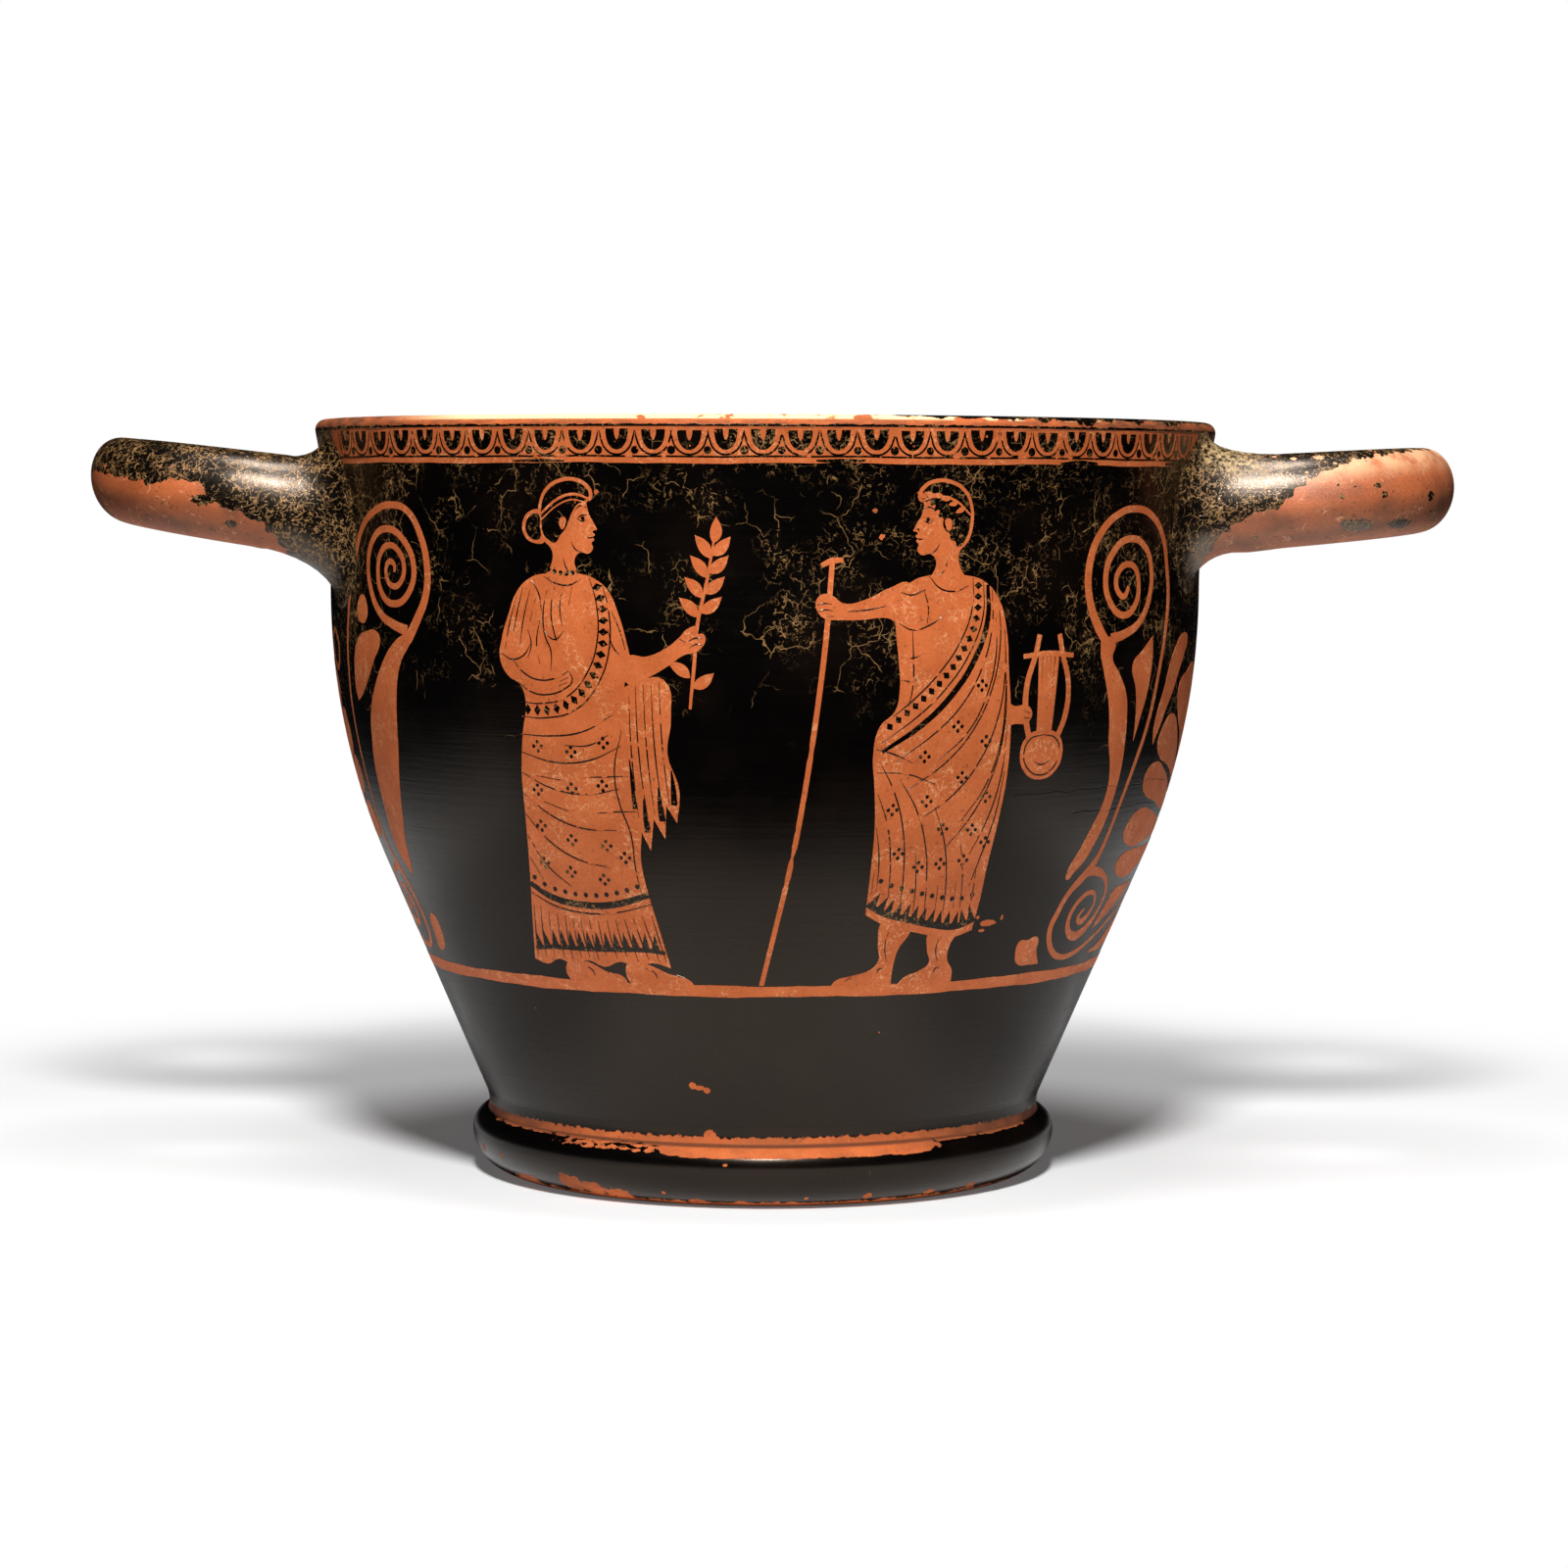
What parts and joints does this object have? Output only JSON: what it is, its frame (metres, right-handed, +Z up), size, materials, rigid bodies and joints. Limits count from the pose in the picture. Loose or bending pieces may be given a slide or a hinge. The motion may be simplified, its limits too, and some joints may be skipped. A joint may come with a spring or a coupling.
{
  "type": "skyphos",
  "caption": "Deep two-handled drinking cup of fired clay on a low ring foot, with level loop handles set just under the lip.",
  "frame": {"origin": "centre of the circle that the foot stands on", "axes": "+Z up along the cup's axis, the handles point along -X and +X, and a painted side faces -Y"},
  "size_m": [0.3275, 0.2156, 0.18],
  "materials": {
    "black_gloss": "black slip gloss, satin to glossy, worn to the clay at the lip, handles and foot",
    "fired_clay": "bare orange-red fired clay, smooth and matt"
  },
  "bodies": {
    "root": {"bowl": "black_gloss", "foot_ring": "black_gloss", "foot_joint_fillet": "fired_clay", "handle_left": "black_gloss", "handle_right": "black_gloss", "root_fillet_left_front": "black_gloss", "root_fillet_left_back": "black_gloss", "root_fillet_right_front": "black_gloss", "root_fillet_right_back": "black_gloss"}
  },
  "joints": []
}
